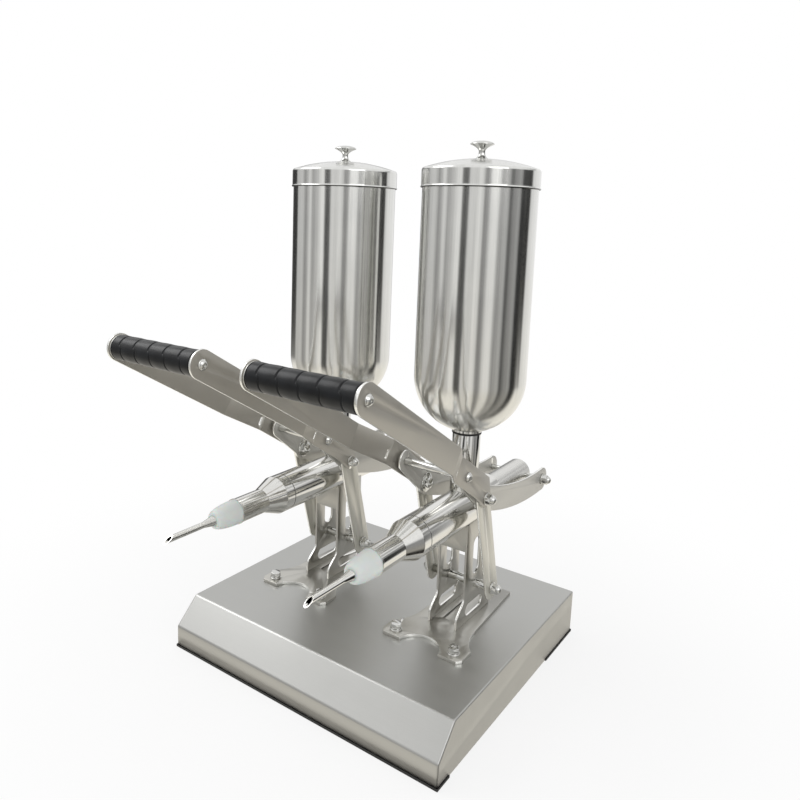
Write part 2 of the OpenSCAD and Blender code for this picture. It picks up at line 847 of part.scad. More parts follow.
// Filling needle: a flared foot in the nose and a thin tube with a slanted open tip
module needle() {
    tube_r = needle_d / 2;
    cut = 3 * needle_d;
    color(steel) difference() {
        turned_y() difference() {
            polygon([
                [0, nose_front_y + flare_seat], [flare_r, nose_front_y + flare_seat],
                [flare_r, nose_front_y], [tube_r, nose_front_y - flare_len],
                [tube_r, needle_tip_y], [0, needle_tip_y]
            ]);
            translate([0, needle_tip_y - overrun])
                square([tube_r - needle_wall, nose_front_y + flare_seat - needle_tip_y + 2 * overrun]);
        }
        translate([0, needle_tip_y, barrel_z - tube_r]) rotate([bevel_angle, 0, 0])
            translate([-cut / 2, -cut, 0]) cube([cut, 2 * cut, cut]);
    }
}

// Hopper with a half-round bottom, a collar on the gasket and a spigot in the neck
module hopper() {
    color(satin) turned_z() difference() {
        union() {
            translate([0, sphere_z]) circle(hopper_r, $fn = 128);
            translate([0, sphere_z]) square([hopper_r, rim_z - sphere_z]);
            translate([0, hopper_bottom_z]) square([neck_r + gasket_out, collar_h]);
            translate([0, hopper_bottom_z - spigot_len]) square([spigot_r, spigot_len + overrun]);
        }
        translate([0, sphere_z]) circle(hopper_r - hopper_sheet, $fn = 128);
        translate([0, sphere_z]) square([hopper_r - hopper_sheet, hopper_r + rim_z]);
        translate([0, hopper_bottom_z - spigot_len - overrun]) square([spigot_in_r, 2 * spigot_len]);
        translate([-hopper_d, 0]) square([hopper_d, 2 * rim_z]);
    }
}

// Half profile of the lid's outside or, with an inset, of its inside: a dome and a round corner
function lid_profile(inset) = let(
    arc_r = lid_corner_r - inset,
    mid_r = lid_r - lid_corner_r,
    mid_z = lid_top_z - lid_corner_r * sin(lid_corner_angle),
    edge_r = mid_r + arc_r * cos(lid_corner_angle),
    edge_z = mid_z + arc_r * sin(lid_corner_angle),
    rise = dome_top_z - inset - edge_z
) concat(
    [for (i = [0:lid_steps - 1]) [edge_r * i / lid_steps, edge_z + rise * (1 - pow(i / lid_steps, 2))]],
    [for (a = [lid_corner_angle:-lid_corner_step:0]) [mid_r + arc_r * cos(a), mid_z + arc_r * sin(a)]]
);

module lid() {
    color(satin) difference() {
        turned_z() difference() {
            polygon(concat(lid_profile(0), [
                [lid_r, lid_seam_z + lid_bead_h], [lid_r + lid_bead, lid_seam_z + lid_bead_h],
                [lid_r + lid_bead, lid_seam_z], [0, lid_seam_z]
            ]));
            polygon(concat(lid_profile(hopper_sheet),
                [[lid_in_r, lid_seam_z - overrun], [0, lid_seam_z - overrun]]));
        }
        translate([0, hopper_y, lid_top_z]) cylinder(h = 2 * lid_dome_h, d = knob_stud_d + hole_fit);
    }
}

// Trumpet-shaped knob with a stud through the lid
module lid_knob() {
    knob_r = knob_d / 2;
    waist_z = knob_h * knob_waist_share;
    brim_z = knob_h * knob_brim_share;
    color(steel) turned_z() translate([0, dome_top_z]) {
        polygon(concat(
            [[0, 0]],
            [for (i = [0:knob_steps]) let(t = i / knob_steps)
                [knob_stem_r + (knob_seat_r - knob_stem_r) * pow(1 - t, 3), waist_z * t]],
            [for (i = [1:knob_steps]) let(t = i / knob_steps)
                [knob_stem_r + (knob_r - knob_stem_r) * pow(t, 2), waist_z + (brim_z - waist_z) * t]],
            [for (a = [15:15:75]) [knob_r * cos(a), brim_z + (knob_h - brim_z) * sin(a)]],
            [[0, knob_h]]
        ));
        translate([0, -knob_stud_l]) square([knob_stud_d / 2, knob_stud_l + knob_h / 2]);
    }
}

// Plunger bar with two ring grooves near its front and a cross hole near its rear
module plunger() {
    color(satin) difference() {
        turned_y() difference() {
            polygon([
                [0, plunger_front_y], [plunger_r - plunger_edge, plunger_front_y],
                [plunger_r, plunger_front_y + plunger_edge], [plunger_r, plunger_rear_y - plunger_edge],
                [plunger_r - plunger_edge, plunger_rear_y], [0, plunger_rear_y]
            ]);
            for (y = ring_ys) translate([ring_r - ring_section_r, y - ring_groove_w / 2])
                square([plunger_r, ring_groove_w]);
        }
        x_bar(pin_d + hole_fit, -bore_d, bore_d, [pin_y, barrel_z]);
    }
}

module plunger_rings() {
    color(rubber) turned_y() for (y = ring_ys) translate([ring_r, y]) circle(ring_section_r, $fn = 24);
}

// Cross pin through the plunger's rear end, with a cap nut outside each hook plate
module cross_pin() {
    nut_x = hook_x + plate_t + side_gap / 2;
    tail_x = nut_x + pin_d * (washer_h_share + nut_h_share) - overrun;
    color(steel) {
        x_bar(pin_d, -tail_x, tail_x, [pin_y, barrel_z]);
        for (side = [left, right]) outwards(nut_x, [pin_y, barrel_z], side) cap_nut(pin_d);
    }
}

translate([0, -origin_y, 0]) {
base_shell();
base_trim_front();
base_trim_rear();
base_channels();
foot_bolts();
axle_nuts();
neck_gaskets();
cap_gaskets();
mouth_seals();
unit(left) foot_plate();  // left_foot_plate
unit(left) bracket();  // left_bracket
unit(left) axle();  // left_axle
unit(left) link_bar(left);  // left_link_outer
unit(left) link_bar(-left);  // left_link_inner
unit(left) handle_plate(left);  // left_handle_plate_outer
unit(left) handle_plate(-left);  // left_handle_plate_inner
unit(left) hook_plate(left);  // left_hook_plate_outer
unit(left) hook_plate(-left);  // left_hook_plate_inner
unit(left) pivot_bolts();  // left_pivot_bolts
unit(left) cross_rod();  // left_cross_rod
unit(left) lever_screws();  // left_lever_screws
unit(left) grip_core();  // left_grip_core
unit(left) grip_sleeve();  // left_grip_sleeve
unit(left) barrel();  // left_barrel
unit(left) neck();  // left_neck
unit(left) hopper();  // left_hopper
unit(left) lid();  // left_lid
unit(left) lid_knob();  // left_lid_knob
unit(left) end_cap();  // left_end_cap
unit(left) nose();  // left_nose
unit(left) needle();  // left_needle
unit(left) plunger();  // left_plunger
unit(left) plunger_rings();  // left_plunger_rings
unit(left) cross_pin();  // left_cross_pin
unit(right) foot_plate();  // right_foot_plate
unit(right) bracket();  // right_bracket
unit(right) axle();  // right_axle
unit(right) link_bar(right);  // right_link_outer
unit(right) link_bar(-right);  // right_link_inner
unit(right) handle_plate(right);  // right_handle_plate_outer
unit(right) handle_plate(-right);  // right_handle_plate_inner
unit(right) hook_plate(right);  // right_hook_plate_outer
unit(right) hook_plate(-right);  // right_hook_plate_inner
unit(right) pivot_bolts();  // right_pivot_bolts
unit(right) cross_rod();  // right_cross_rod
unit(right) lever_screws();  // right_lever_screws
unit(right) grip_core();  // right_grip_core
unit(right) grip_sleeve();  // right_grip_sleeve
unit(right) barrel();  // right_barrel
unit(right) neck();  // right_neck
unit(right) hopper();  // right_hopper
unit(right) lid();  // right_lid
unit(right) lid_knob();  // right_lid_knob
unit(right) end_cap();  // right_end_cap
unit(right) nose();  // right_nose
unit(right) needle();  // right_needle
unit(right) plunger();  // right_plunger
unit(right) plunger_rings();  // right_plunger_rings
unit(right) cross_pin();  // right_cross_pin
}
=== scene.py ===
"""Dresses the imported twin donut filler: steel, rubber, seals and plastic, in a plain pale studio."""

import json
import math

import bmesh
import bpy
import numpy as np
from mathutils import Matrix, Vector

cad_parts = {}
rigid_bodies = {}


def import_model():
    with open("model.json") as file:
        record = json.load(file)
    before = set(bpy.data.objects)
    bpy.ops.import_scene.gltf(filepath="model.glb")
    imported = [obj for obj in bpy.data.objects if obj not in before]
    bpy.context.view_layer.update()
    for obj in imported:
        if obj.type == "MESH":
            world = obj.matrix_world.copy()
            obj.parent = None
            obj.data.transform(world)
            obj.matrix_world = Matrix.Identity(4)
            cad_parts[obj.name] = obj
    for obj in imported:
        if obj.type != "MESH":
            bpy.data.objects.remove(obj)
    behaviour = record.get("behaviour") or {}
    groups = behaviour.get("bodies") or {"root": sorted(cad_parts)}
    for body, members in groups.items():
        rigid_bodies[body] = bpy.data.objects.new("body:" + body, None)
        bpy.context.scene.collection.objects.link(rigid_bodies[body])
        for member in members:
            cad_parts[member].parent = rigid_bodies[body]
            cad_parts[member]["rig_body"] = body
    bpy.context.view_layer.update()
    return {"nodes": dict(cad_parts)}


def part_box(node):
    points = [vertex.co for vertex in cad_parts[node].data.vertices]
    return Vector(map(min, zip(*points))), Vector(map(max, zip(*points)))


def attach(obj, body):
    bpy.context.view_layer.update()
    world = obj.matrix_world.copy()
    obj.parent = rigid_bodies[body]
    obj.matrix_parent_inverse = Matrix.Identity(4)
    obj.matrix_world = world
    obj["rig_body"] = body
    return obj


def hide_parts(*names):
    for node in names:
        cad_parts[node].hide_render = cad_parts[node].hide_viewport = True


bl_info = {
    "name": "Twin Donut Filler",
    "version": (1, 0, 0),
    "blender": (4, 5, 0),
    "location": "3D View > Sidebar > Filler",
    "description": "Builds the finished surfaces of a twin donut filler on its solid frame",
    "category": "Object",
}

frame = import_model()
SIDES = ("left", "right")

# The camera fitted to the photograph: place from the middle of the base in metres, axes, and lens in pixels
CAMERA_PLACE = (0.539087, -0.808718, 0.604519)
CAMERA_RIGHT = (0.80629342, 0.59067378, 0.03155006)
CAMERA_BACK = (0.58021879, -0.80014312, 0.15204327)
PICTURE_PX, FOCAL_PX = 800, 727.025
CENTRE_X_PX, CENTRE_Y_PX = 363.597, 326.579
SENSOR = 36.0

# Lamps: name, place from the middle of the base, width and power
LAMPS = (("key", (-1.9, -0.7, 2.4), 1.6, 22.0), ("fill", (1.9, -0.9, 1.7), 1.4, 10.0))
LAMPS_AIM = (0, 0, 0.3)

# Levels of the room that metal sees, round the compass: pairs of the direction in half turns and the level
PANELS = (
    (-1.0, 0.4), (-0.97, 0.6), (-0.87, 0.66), (-0.82, 0.28), (-0.78, 0.45), (-0.74, 0.86), (-0.7, 0.4),
    (-0.62, 0.62), (-0.58, 0.92), (-0.545, 1.0), (-0.525, 0.06), (-0.47, 0.05), (-0.45, 0.8), (-0.38, 0.7),
    (-0.35, 0.92), (-0.31, 0.75), (-0.29, 0.25), (-0.255, 0.3), (-0.22, 0.8), (-0.15, 0.85), (-0.11, 0.3),
    (-0.035, 0.5), (-0.005, 0.05), (0.04, 0.25), (0.115, 0.4), (0.145, 0.02), (0.28, 0.01), (0.31, 0.8),
    (0.38, 0.95), (0.6, 0.95), (0.66, 0.2), (0.9, 0.04),
)

# Where those panels fade and what hangs above them. Heights are sines of the elevation, turns are half turns
PANEL_TOP = (0.10, 0.34)
REAR_HEM, REAR_SIDE = (-0.30, -0.16), (0.2, 0.26)
FRONT_HEM, FRONT_SIDE = (-0.55, -0.38), (-0.52, -0.45)
DOOR_TURN, DOOR_HEIGHT, DOOR_DEPTH = (0.26, 0.28, 0.36, 0.39), (0.14, 0.24, 0.28, 0.34), 0.7
SHELF_TURN = (0.22, 0.30, 0.42, 0.50)
WIDE_SHELF, WIDE_DEPTH = (0.36, 0.38, 0.48, 0.50), 0.5
THIN_SHELF, THIN_DEPTH = (0.55, 0.56, 0.57, 0.58), 0.7
WARM_HEIGHT, WARM_TINT = (-0.5, 0.05), (1.0, 0.96, 0.87)
SOFT_LEVEL = 0.72


# Shader maths


class Link:
    """An output socket. Sums, products and quotients of it add Math nodes to its tree."""

    def __init__(self, tree, socket):
        self.tree, self.socket = tree, socket

    def math(self, operation, *values):
        return self.tree.node("ShaderNodeMath", {"operation": operation}, dict(enumerate(values)))

    def __add__(self, other):
        return self.math("ADD", self, other)

    def __sub__(self, other):
        return self.math("SUBTRACT", self, other)

    def __rsub__(self, other):
        return self.math("SUBTRACT", other, self)

    def __mul__(self, other):
        return self.math("MULTIPLY", self, other)

    def __truediv__(self, other):
        return self.math("DIVIDE", self, other)

    __radd__, __rmul__ = __add__, __mul__

    def band(self, low, high, start=0.0, end=1.0):
        """Smooth step from start at low to end at high."""
        return self.tree.node(
            "ShaderNodeMapRange",
            {"interpolation_type": "SMOOTHSTEP"},
            {0: self, 1: low, 2: high, 3: start, 4: end},
        )

    def fade(self, low, high):
        """Smooth step from one at low to nothing at high."""
        return self.band(low, high, 1.0, 0.0)

    def window(self, rise, risen, fall, fallen):
        """One between risen and fall, and nothing outside rise and fallen."""
        return self.band(rise, risen) * self.fade(fall, fallen)


class Tree:
    """Node tree of a material or a world, emptied, with one method for every kind of node."""

    def __init__(self, owner):
        owner.use_nodes = True
        self.tree = owner.node_tree
        self.tree.nodes.clear()

    def node(self, kind, settings=None, inputs=None, output=0):
        made = self.tree.nodes.new(kind)
        for name, value in (settings or {}).items():
            setattr(made, name, value)
        for name, value in (inputs or {}).items():
            if isinstance(value, Link):
                self.tree.links.new(value.socket, made.inputs[name])
            else:
                made.inputs[name].default_value = value
        return Link(self, made.outputs[output]) if made.outputs else None

    def place(self):
        return self.node("ShaderNodeTexCoord", output="Object")

    def ray(self, kind):
        """One for the rays of a kind, such as Is Camera Ray, and nothing for the others."""
        return self.node("ShaderNodeLightPath", output=kind)

    def noise(self, scale, detail, stretch=(1, 1, 1)):
        place = self.node("ShaderNodeMapping", {}, {0: self.place(), 3: stretch})
        return self.node("ShaderNodeTexNoise", {}, {"Vector": place, "Scale": scale, "Detail": detail})

    def tint(self, factor, dark, light):
        """Mix of two colours; light is a colour or a link to one."""
        light = light if isinstance(light, Link) else (*light, 1)
        return self.node(
            "ShaderNodeMix", {"data_type": "RGBA"}, {0: factor, 6: (*dark, 1), 7: light}, output=2
        )

    def ramp(self, factor, steps):
        """Level that runs straight from step to step; a step is a factor from -1 to 1 and a level."""
        level = self.node("ShaderNodeValToRGB", {}, {0: factor * 0.5 + 0.5})
        stops = level.socket.node.color_ramp.elements
        while len(stops) < len(steps):
            stops.new(1.0)
        for stop, (place, value) in zip(stops, steps):
            stop.position, stop.color = place / 2 + 0.5, (value, value, value, 1.0)
        return level

    def bump(self, height, strength, distance):
        inputs = {"Strength": strength, "Distance": distance, "Height": height}
        return self.node("ShaderNodeBump", {}, inputs)

    def surface(self, **sockets):
        """Principled surface; sockets hold its links and constants by name, with _ for a space."""
        named = {name.replace("_", " "): value for name, value in sockets.items()}
        shader = self.node("ShaderNodeBsdfPrincipled", {}, named)
        self.node("ShaderNodeOutputMaterial", {}, {"Surface": shader})


def shade(colour, by):
    return tuple(min(1.0, c * by) for c in colour)


# Settings


def colour_prop(name, text, default):
    return bpy.props.FloatVectorProperty(
        name=name, description=text, subtype="COLOR", size=3, min=0, max=1, default=default
    )


def share_prop(name, text, default):
    return bpy.props.FloatProperty(
        name=name, description=text, subtype="FACTOR", min=0, max=1, default=default
    )


def length_prop(name, text, default):
    return bpy.props.FloatProperty(
        name=name, description=text, subtype="DISTANCE", unit="LENGTH", min=0, precision=5, default=default
    )


class FillerFinish(bpy.types.PropertyGroup):
    """Colours and finishes of the filler's materials"""

    sheet: colour_prop("Base sheet", "Colour of the folded base sheet", (0.47, 0.47, 0.455))
    cut_plate: colour_prop("Cut plate", "Colour of the brackets and foot plates", (0.52, 0.51, 0.475))
    lever: colour_prop("Lever plate", "Colour of the handle plates", (0.42, 0.40, 0.355))
    hook: colour_prop("Hook plate", "Colour of the hook plates", (0.57, 0.56, 0.525))
    link: colour_prop("Link bar", "Colour of the link bars", (0.66, 0.645, 0.58))
    tube: colour_prop("Polished tube", "Colour of the barrels, necks and end caps", (0.74, 0.735, 0.71))
    hopper: colour_prop("Hopper", "Colour of the hoppers and lids", (0.72, 0.72, 0.70))
    zinc: colour_prop("Fasteners", "Colour of the bright bolts and nuts", (0.62, 0.62, 0.60))
    rubber: colour_prop("Grip rubber", "Colour of the grips", (0.003, 0.0035, 0.0045))
    silicone: colour_prop("Mouth seal", "Colour of the seals in the barrels' mouths", (0.60, 0.62, 0.20))
    plastic: colour_prop("Nose", "Colour of the plastic noses", (0.73, 0.77, 0.745))
    hopper_rough: share_prop("Hopper roughness", "Roughness of the brushed hoppers", 0.17)
    tube_rough: share_prop("Tube roughness", "Roughness of the polished tubes", 0.12)
    sheet_rough: share_prop("Sheet roughness", "Roughness of the base sheet", 0.38)
    plate_rough: share_prop("Plate roughness", "Roughness of the lever plates", 0.46)


class FillerSizes(bpy.types.PropertyGroup):
    """Small sizes that the finished surfaces add to the solids"""

    fold_round: length_prop("Fold round", "Radius of the base sheet's folds", 0.0022)
    edge_round: length_prop("Edge round", "Rounding of the cut plates' edges", 0.0004)
    groove_depth: length_prop("Grip groove", "Depth of the grips' ring grooves", 0.0009)
    rib_height: length_prop("Grip rib", "Height of the grips' low ribs", 0.0003)
    floor_size: length_prop("Floor", "Half width of the studio floor", 6.0)


# Materials

LOOKS = {}


def new_look(name):
    """New material, kept in LOOKS by its name; returns its empty tree."""
    LOOKS[name] = bpy.data.materials.new(name)
    return Tree(LOOKS[name])


def steel(
    name, colour, rough, spread, brushing, fine, coarse, relief, marks=0.06, seam=None, metal=1.0, **more
):
    """Brushed steel. A fine and a coarse noise, both drawn out along the brushing, vary its colour by the
    spread and its roughness, a wide one adds hand marks, and the first two make its relief. Below the
    height seam, if given, it is painted dark: painted shade of the gap under the lid's bead."""
    tree = new_look(name)
    lines = tree.noise(fine, 4.0, brushing)
    bands = tree.noise(coarse, 2.0, brushing)
    hands = tree.noise(26.0, 4.0)
    mix = lines * 0.55 + bands * 0.45
    share = (mix * 0.8 + hands * 0.2).band(0.3, 0.7)
    tone = tree.tint(share, shade(colour, 1 - spread), shade(colour, 1 + spread))
    if seam is not None:
        # painted shade: below the seam height the lid is painted dark, for the shadow in the gap over the
        # hopper's rim
        up = tree.node("ShaderNodeSeparateXYZ", {}, {0: tree.place()}, output="Z")
        tone = tree.tint(up.band(seam, seam + 0.0004), shade(colour, 0.12), tone)
    even = 0.68 * rough - marks / 2
    tree.surface(
        Metallic=metal,
        IOR=2.5,
        Base_Color=tone,
        Roughness=lines * (0.35 * rough) + bands * (0.3 * rough) + hands * marks + even,
        Normal=tree.bump(mix, relief, 0.0004),
        **more,
    )


def steels(finish):
    """Every steel: name, colour, roughness, spread, brushing, noise scales, relief and perhaps hand marks."""
    upright, across, along = (1.0, 1.0, 0.012), (0.02, 1.0, 1.0), (1.0, 0.02, 1.0)
    plain, rolled, lengthwise = (1, 1, 1), (1.0, 1.0, 0.08), (1.0, 0.05, 0.05)
    smeared = {"Anisotropic": 0.9, "Anisotropic_Rotation": 0.25}
    satin = {"metal": 0.65}
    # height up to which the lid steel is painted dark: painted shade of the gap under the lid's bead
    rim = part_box("left_lid")[0].z + 0.0011
    hopper = (finish.hopper, finish.hopper_rough, 0.07, upright, 900.0, 120.0, 0.02, 0.03)
    steel("hopper steel", *hopper, **smeared)
    steel("lid steel", *hopper, seam=rim, **smeared)
    steel("base steel", finish.sheet, finish.sheet_rough, 0.03, across, 1400.0, 30.0, 0.02, 0.10)
    steel("inner steel", shade(finish.sheet, 0.9), 0.4, 0.08, along, 900.0, 160.0, 0.05)
    steel("cut plate steel", finish.cut_plate, 0.31, 0.03, rolled, 700.0, 60.0, 0.01)
    # Cut edge faces: their own smoother finish, and a colour brighter than any other steel as a painted
    # highlight along the edges
    steel("cut edge steel with painted highlight", shade(finish.zinc, 1.4), 0.2, 0.04, plain, 700.0, 90.0, 0.02)
    steel("link steel", finish.link, 0.40, 0.04, rolled, 700.0, 60.0, 0.02, **satin)
    steel("lever steel", finish.lever, finish.plate_rough, 0.04, lengthwise, 900.0, 40.0, 0.02, **satin)
    steel("hook steel", finish.hook, finish.plate_rough, 0.04, lengthwise, 900.0, 40.0, 0.02, **satin)
    steel("tube steel", finish.tube, finish.tube_rough, 0.06, along, 800.0, 140.0, 0.015, 0.02)
    steel("neck steel", finish.tube, finish.tube_rough, 0.06, upright, 800.0, 140.0, 0.015, 0.02)
    steel("plunger steel", shade(finish.tube, 0.9), 0.27, 0.05, along, 900.0, 160.0, 0.03)
    steel("bright zinc", finish.zinc, 0.10, 0.06, plain, 500.0, 90.0, 0.02)


def grip_rubber(finish):
    """Near black rubber, paler and duller where it is worn."""
    tree = new_look("grip rubber")
    skin, wear = tree.noise(2600.0, 3.0), tree.noise(60.0, 4.0)
    tree.surface(
        Specular_IOR_Level=0.3,
        Base_Color=tree.tint(wear.band(0.35, 0.75), finish.rubber, shade(finish.rubber, 2.2)),
        Roughness=wear * 0.14 + skin * 0.06 + 0.2,
        Normal=tree.bump(skin, 0.12, 0.0003),
    )


def edge_rubber():
    """Matt dark rubber of the base's edges, gaskets and plunger rings."""
    tree = new_look("edge rubber")
    skin = tree.noise(900.0, 3.0)
    tree.surface(
        Base_Color=tree.tint(skin, (0.010, 0.010, 0.010), (0.028, 0.027, 0.026)),
        Roughness=skin * 0.25 + 0.5,
        Normal=tree.bump(skin, 0.2, 0.0003),
    )


def mouth_silicone(finish):
    """Yellow-green silicone that lets a little light in."""
    tree = new_look("mouth silicone")
    cloud = tree.noise(180.0, 3.0)
    tree.surface(
        Subsurface_Weight=0.25,
        Subsurface_Scale=0.003,
        Base_Color=tree.tint(cloud, shade(finish.silicone, 0.82), shade(finish.silicone, 1.12)),
        Roughness=cloud * 0.2 + 0.28,
        Normal=tree.bump(cloud, 0.06, 0.0003),
    )


def milky_plastic(finish):
    """White plastic with fine turning marks, lit from inside a little."""
    tree = new_look("milky plastic")
    cloud, turning = tree.noise(90.0, 3.0), tree.noise(900.0, 2.0, (0.05, 1.0, 0.05))
    tree.surface(
        Subsurface_Weight=0.35,
        Subsurface_Scale=0.006,
        Base_Color=tree.tint(cloud, shade(finish.plastic, 0.94), finish.plastic),
        Roughness=turning * 0.12 + cloud * 0.08 + 0.22,
        Normal=tree.bump(turning, 0.06, 0.0003),
    )


def make_looks(finish):
    """All materials, from the colours and finishes in the settings."""
    steels(finish)
    grip_rubber(finish)
    edge_rubber()
    mouth_silicone(finish)
    milky_plastic(finish)


# Meshes


def mesh_object(name, points, faces):
    """New object at the origin from arrays of points and faces."""
    mesh = bpy.data.meshes.new(name)
    mesh.from_pydata(points.tolist(), [], faces if isinstance(faces, list) else faces.tolist())
    mesh.validate()
    made = bpy.data.objects.new(name, mesh)
    bpy.context.scene.collection.objects.link(made)
    mesh.shade_smooth()
    return made


def clean(made, sharp=40):
    """Merges doubled points, turns every face outwards and marks edges over the angle as sharp."""
    skin = bmesh.new()
    skin.from_mesh(made.data)
    bmesh.ops.remove_doubles(skin, verts=skin.verts, dist=1e-6)
    bmesh.ops.recalc_face_normals(skin, faces=skin.faces)
    skin.to_mesh(made.data)
    skin.free()
    made.data.shade_smooth()
    made.data.set_sharp_from_angle(angle=math.radians(sharp))


def grid(name, points, closed):
    """Skin over an array of points [i, j, xyz]; j closes round, and so does i when closed is set."""
    rows, columns = points.shape[:2]
    i = np.arange(rows if closed else rows - 1)[:, None]
    j = np.arange(columns)[None, :]
    next_i, next_j = (i + 1) % rows, (j + 1) % columns
    corners = [i * columns + j, i * columns + next_j, next_i * columns + next_j, next_i * columns + j]
    return mesh_object(name, points.reshape(-1, 3), np.stack(corners, -1).reshape(-1, 4))


def turned(name, runs, axis, centre, steps, radius=None, closed=True):
    """Surface of revolution: the runs of points, end to end, are its profile, and the point (r, h) of it goes
    to centre + h axis + r (u cos t + v sin t), with u, v and axis at right angles and t from 0 to a full
    turn. radius(r, h, t), if given, replaces r at each point."""
    axis = np.array(axis, float)
    u = np.cross(axis, (0.0, 0.0, 1.0) if abs(axis[2]) < 0.5 else (1.0, 0.0, 0.0))
    u /= np.linalg.norm(u)
    v = np.cross(axis, u)
    profile = np.concatenate(runs).astype(float)
    t = np.linspace(0, 2 * math.pi, steps, endpoint=False)
    r, h = (np.repeat(profile[:, k : k + 1], steps, 1) for k in range(2))
    if radius is not None:
        r = radius(r, h, np.broadcast_to(t, r.shape))
    spoke = np.cos(t)[None, :, None] * u + np.sin(t)[None, :, None] * v
    points = np.array(centre, float) + h[..., None] * axis + r[..., None] * spoke
    made = grid(name, points, closed)
    clean(made)
    return made


def pairs(r, h):
    """Run of points (r, h) from two arrays, or from a number and an array."""
    return np.stack(np.broadcast_arrays(r, h), -1)


def arc(r, z, radius, start, end, steps):
    """Points (r + radius cos a, z + radius sin a) with the angle a from start to end, in degrees."""
    a = np.radians(np.linspace(start, end, steps))
    return pairs(r + radius * np.cos(a), z + radius * np.sin(a))


def edged(corners, edge):
    """Closed profile with every corner p replaced by the curve (1 - s)^2 a + 2 s (1 - s) p + s^2 b, where a
    and b lie edge away along its two sides, and a point close behind each curve to hold the sides flat."""
    corners = np.array(corners, float)
    s = np.linspace(0, 1, 3)[:, None]
    longest, behind = 0.3, 1.6
    out = []
    for before, at, after in zip(np.roll(corners, 1, 0), corners, np.roll(corners, -1, 0)):
        back, on = before - at, after - at
        far_back, far_on = np.linalg.norm(back), np.linalg.norm(on)
        reach = min(edge, far_back * longest, far_on * longest)
        a, b = at + back / far_back * reach, at + on / far_on * reach
        out.append(at + back / far_back * reach * behind)
        out += [*((1 - s) ** 2 * a + 2 * s * (1 - s) * at + s**2 * b)]
        out.append(at + on / far_on * reach * behind)
    return np.array(out)


def middle_of(low, high):
    """Middle of a box, from its two corners."""
    return [(a + b) / 2 for a, b in zip(low, high)]


def dress(made, surface, node):
    """Gives a piece its material, and lets it stand for its CAD node on the node's body."""
    made.data.materials.clear()
    made.data.materials.append(LOOKS[surface])
    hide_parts(node)
    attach(made, frame["nodes"][node]["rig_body"])


def merged(node, thin):
    """The node's own solid as one merged mesh with its flat faces joined. Faces narrower than thin get the
    second material: a face of area A inside an outline of length P is about 2 A / P wide."""
    skin = bmesh.new()
    skin.from_mesh(frame["nodes"][node].data)
    bmesh.ops.remove_doubles(skin, verts=skin.verts, dist=2e-6)
    bmesh.ops.dissolve_limit(skin, angle_limit=math.radians(0.6), verts=skin.verts, edges=skin.edges)
    for face in skin.faces:
        face.material_index = int(2 * face.calc_area() < thin * face.calc_perimeter())
    mesh = bpy.data.meshes.new(node + "_skin")
    skin.to_mesh(mesh)
    skin.free()
    mesh.shade_smooth()
    return mesh


def bevelled(made, name, width, segments, angle):
    """Rounds the piece's edges over the angle with a live modifier, which it returns."""
    edge = made.modifiers.new(name, "BEVEL")
    edge.width, edge.segments, edge.limit_method = width, segments, "ANGLE"
    edge.angle_limit = math.radians(angle)
    edge.harden_normals = True
    return edge


def skin_of(node, surface, width, angle=15, cut=None, plate=0.0034):
    """The node's own solid as one piece. Its edges over the angle are rounded, or left sharp when the width
    is zero. Where the look cut is given, faces narrower than the plate's thickness get it."""
    mesh = merged(node, plate if cut else 0)
    made = bpy.data.objects.new(node + "_skin", mesh)
    bpy.context.scene.collection.objects.link(made)
    if width:
        edge = bevelled(made, "edge", width, 2, angle)
        edge.use_clamp_overlap = False
        edge.miter_outer = "MITER_ARC"
    else:
        mesh.set_sharp_from_angle(angle=math.radians(angle))
    marks = np.zeros(len(mesh.polygons), np.int32)
    mesh.polygons.foreach_get("material_index", marks)
    dress(made, surface, node)
    if cut:
        mesh.materials.append(LOOKS[cut])
        mesh.polygons.foreach_set("material_index", marks)


# Operators


